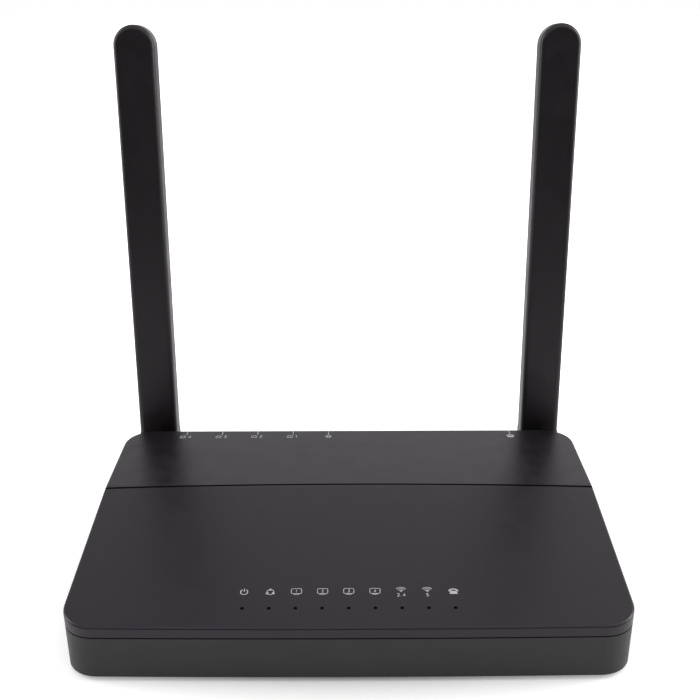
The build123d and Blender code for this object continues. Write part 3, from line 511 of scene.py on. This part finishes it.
# ---------------------------------------------------------------- floor, light and camera
def floor_finish():
    """Pale paint with a painted glow, seen only by the camera, that grows with distance from the object and
    washes out the floor's shading, so that the floor runs into the sky.
    """
    material = finish("floor_paint_and_painted_glow", (0.93, 0.93, 0.93), 0.85, blotch=3, tint=0.01)
    tree = material.node_tree
    shader = tree.nodes["Principled BSDF"]
    place = node(tree, "ShaderNodeTexCoord")
    away = node(tree, "ShaderNodeVectorMath", operation="LENGTH")
    tree.links.new(place.outputs["Object"], away.inputs[0])
    # painted glow: emission seen only by camera rays, from 0.08 near the case to full at 0.26 m, whitening
    # the floor's shade
    glow = mapped(tree, away.outputs["Value"], 0.05, 0.26, 0.08, 1.0)
    seen = node(tree, "ShaderNodeMath", operation="MULTIPLY")
    paths = node(tree, "ShaderNodeLightPath")
    tree.links.new(glow, seen.inputs[0])
    tree.links.new(paths.outputs["Is Camera Ray"], seen.inputs[1])
    tree.links.new(seen.outputs["Value"], shader.inputs["Emission Strength"])
    shader.inputs["Emission Color"].default_value = (1, 1, 1, 1)
    return material


def studio():
    """A pale floor under a pale sky that is brightest at the right rear, and three soft boxes."""
    mesh = bpy.data.meshes.new("floor")
    side, front, rear = 3.0, -0.42, 3.0
    corners = [(-side, front, 0), (side, front, 0), (side, rear, 0), (-side, rear, 0)]
    mesh.from_pydata(corners, [], [(0, 1, 2, 3)])
    floor = bpy.data.objects.new("floor", mesh)
    bpy.context.scene.collection.objects.link(floor)
    mesh.materials.append(floor_finish())

    world = bpy.data.worlds.new("studio")
    bpy.context.scene.world = world
    world.use_nodes = True
    tree = world.node_tree
    background = tree.nodes["Background"]
    direction = node(tree, "ShaderNodeTexCoord")
    toward_rear = node(tree, "ShaderNodeVectorMath", operation="DOT_PRODUCT")
    toward_rear.inputs[1].default_value = (0.56, 0.84, -0.1)
    paths = node(tree, "ShaderNodeLightPath")
    seen = node(tree, "ShaderNodeMix", data_type="FLOAT")
    seen.inputs["B"].default_value = 1.0
    tree.links.new(direction.outputs["Generated"], toward_rear.inputs[0])
    tree.links.new(mapped(tree, toward_rear.outputs["Value"], -0.6, 0.85, 0.18, 0.98), seen.inputs["A"])
    tree.links.new(paths.outputs["Is Camera Ray"], seen.inputs["Factor"])
    tree.links.new(seen.outputs["Result"], background.inputs["Strength"])
    background.inputs["Color"].default_value = (1, 1, 1, 1)

    soft_boxes = [  # name, place, size, power
        ("overhead", (0, -0.75, 1.6), (3.2, 2.2), 18),
        ("left", (-1.3, 0.1, 0.6), (0.5, 1.2), 9),
        ("right", (1.3, 0.1, 0.6), (0.5, 1.2), 11),
    ]
    for name, place, (width, height), power in soft_boxes:
        light = bpy.data.lights.new(name, "AREA")
        light.shape = "RECTANGLE"
        light.size = width
        light.size_y = height
        light.energy = power
        lamp = bpy.data.objects.new(name, light)
        lamp.location = place
        lamp.rotation_euler = (Vector((0, 0, 0.05)) - lamp.location).to_track_quat("-Z", "Y").to_euler()
        bpy.context.scene.collection.objects.link(lamp)


CAMERA_PLACE = (0.00086, -0.31329, 0.22244)  # from the middle of the case's underside
CAMERA_PITCH, CAMERA_ROLL, CAMERA_YAW = 22.79, 0.215, -0.034  # degrees
FOCAL_LENGTH = 50.48
SENSOR_WIDTH = 36


def camera():
    """A camera in front of and above the case, looking down at it."""
    pitch, roll, yaw = radians(CAMERA_PITCH), radians(CAMERA_ROLL), radians(CAMERA_YAW)
    forward = Vector((sin(yaw) * cos(pitch), cos(yaw) * cos(pitch), -sin(pitch)))
    level = Vector((cos(yaw), -sin(yaw), 0))
    down = forward.cross(level)
    right = level * cos(roll) + down * sin(roll)
    up = level * sin(roll) - down * cos(roll)
    lens = bpy.data.cameras.new("camera")
    lens.lens = FOCAL_LENGTH
    lens.sensor_width = SENSOR_WIDTH
    lens.clip_start = 0.01
    lens.clip_end = 50
    view = bpy.data.objects.new("camera", lens)
    turn = Matrix((right, up, -forward)).transposed().to_4x4()
    place = Vector(CAMERA_PLACE) + Vector((0, 0, case_low.z))
    view.matrix_world = Matrix.Translation(place) @ turn
    bpy.context.scene.collection.objects.link(view)
    bpy.context.scene.camera = view


studio()
camera()
bpy.context.scene.view_settings.view_transform = "Standard"
